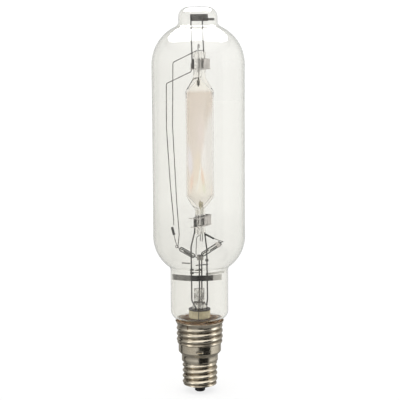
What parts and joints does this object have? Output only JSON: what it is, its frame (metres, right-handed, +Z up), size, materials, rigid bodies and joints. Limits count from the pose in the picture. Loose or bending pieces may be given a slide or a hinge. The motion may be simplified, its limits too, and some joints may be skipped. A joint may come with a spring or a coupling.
{
  "type": "metal halide bulb",
  "caption": "Clear tubular metal halide discharge lamp: domed glass bulb with a top nipple, quartz arc tube on a wire frame with a starter, and a nickel screw cap",
  "frame": {"origin": "centre of the flat end of the centre contact, on the lamp axis", "axes": "+Z runs up the lamp axis from the contact to the top of the bulb; the front, as pictured, faces -Y; +X is to the viewer's right"},
  "size_m": [0.1022, 0.1022, 0.43],
  "materials": {
    "bulb_glass": "clear blown hard glass",
    "stem_glass": "clear pressed glass",
    "starter_glass": "clear glass tube",
    "quartz": "fused quartz with a thin film of salts",
    "cap_nickel": "nickel plated brass, slightly warm",
    "black_glass": "black fused glass",
    "contact_metal": "darkened metal",
    "cement": "brown basing cement",
    "cream_ceramic": "unglazed cream ceramic",
    "dark_steel": "darkened steel",
    "lead_wire": "dull nickel wire",
    "tungsten": "grey tungsten",
    "molybdenum": "bright grey molybdenum",
    "clip_steel": "pressed stainless strip",
    "rod_steel": "drawn steel rod",
    "spring_steel": "spring strip",
    "resistor_black": "dark coated body",
    "thin_wire": "drawn wire"
  },
  "bodies": {
    "root": {"outer_bulb": "bulb_glass", "stem": "stem_glass", "exhaust_tube": "stem_glass", "cap_shell": "cap_nickel", "cap_insulator": "black_glass", "centre_contact": "contact_metal", "basing_cement": "cement", "stem_collar": "cream_ceramic", "foot_plate": "dark_steel", "contact_lead": "lead_wire", "shell_lead": "lead_wire", "side_wire": "lead_wire", "arc_tube": "quartz", "upper_electrode": "tungsten", "lower_electrode": "tungsten", "starting_probe": "tungsten", "upper_foil": "molybdenum", "lower_foil": "molybdenum", "probe_foil": "molybdenum", "upper_pin": "molybdenum", "lower_pin": "molybdenum", "probe_pin": "molybdenum", "upper_near_clip": "dark_steel", "upper_far_clip": "clip_steel", "lower_near_clip": "dark_steel", "lower_far_clip": "clip_steel", "upper_tie": "clip_steel", "lower_ties": "clip_steel", "top_ring": "dark_steel", "left_top_rod": "rod_steel", "right_top_rod": "rod_steel", "left_rod": "rod_steel", "right_rod": "rod_steel", "front_spring": "spring_steel", "back_spring": "spring_steel", "weld_block": "dark_steel", "tie_bar": "dark_steel", "cross_bar": "dark_steel", "rod_collar": "dark_steel", "getter_strip": "spring_steel", "switch_glass": "starter_glass", "bottle_glass": "starter_glass", "switch_blade_left": "dark_steel", "switch_blade_right": "dark_steel", "bottle_electrode": "dark_steel", "bottle_bimetal": "dark_steel", "bottle_ferrule": "clip_steel", "starter_bracket": "dark_steel", "left_resistor": "resistor_black", "right_resistor": "resistor_black", "starter_wire": "thin_wire", "return_wire": "thin_wire", "capsule_wire": "thin_wire", "bottle_wire": "thin_wire", "jumper": "thin_wire", "link_wire": "thin_wire"}
  },
  "joints": []
}
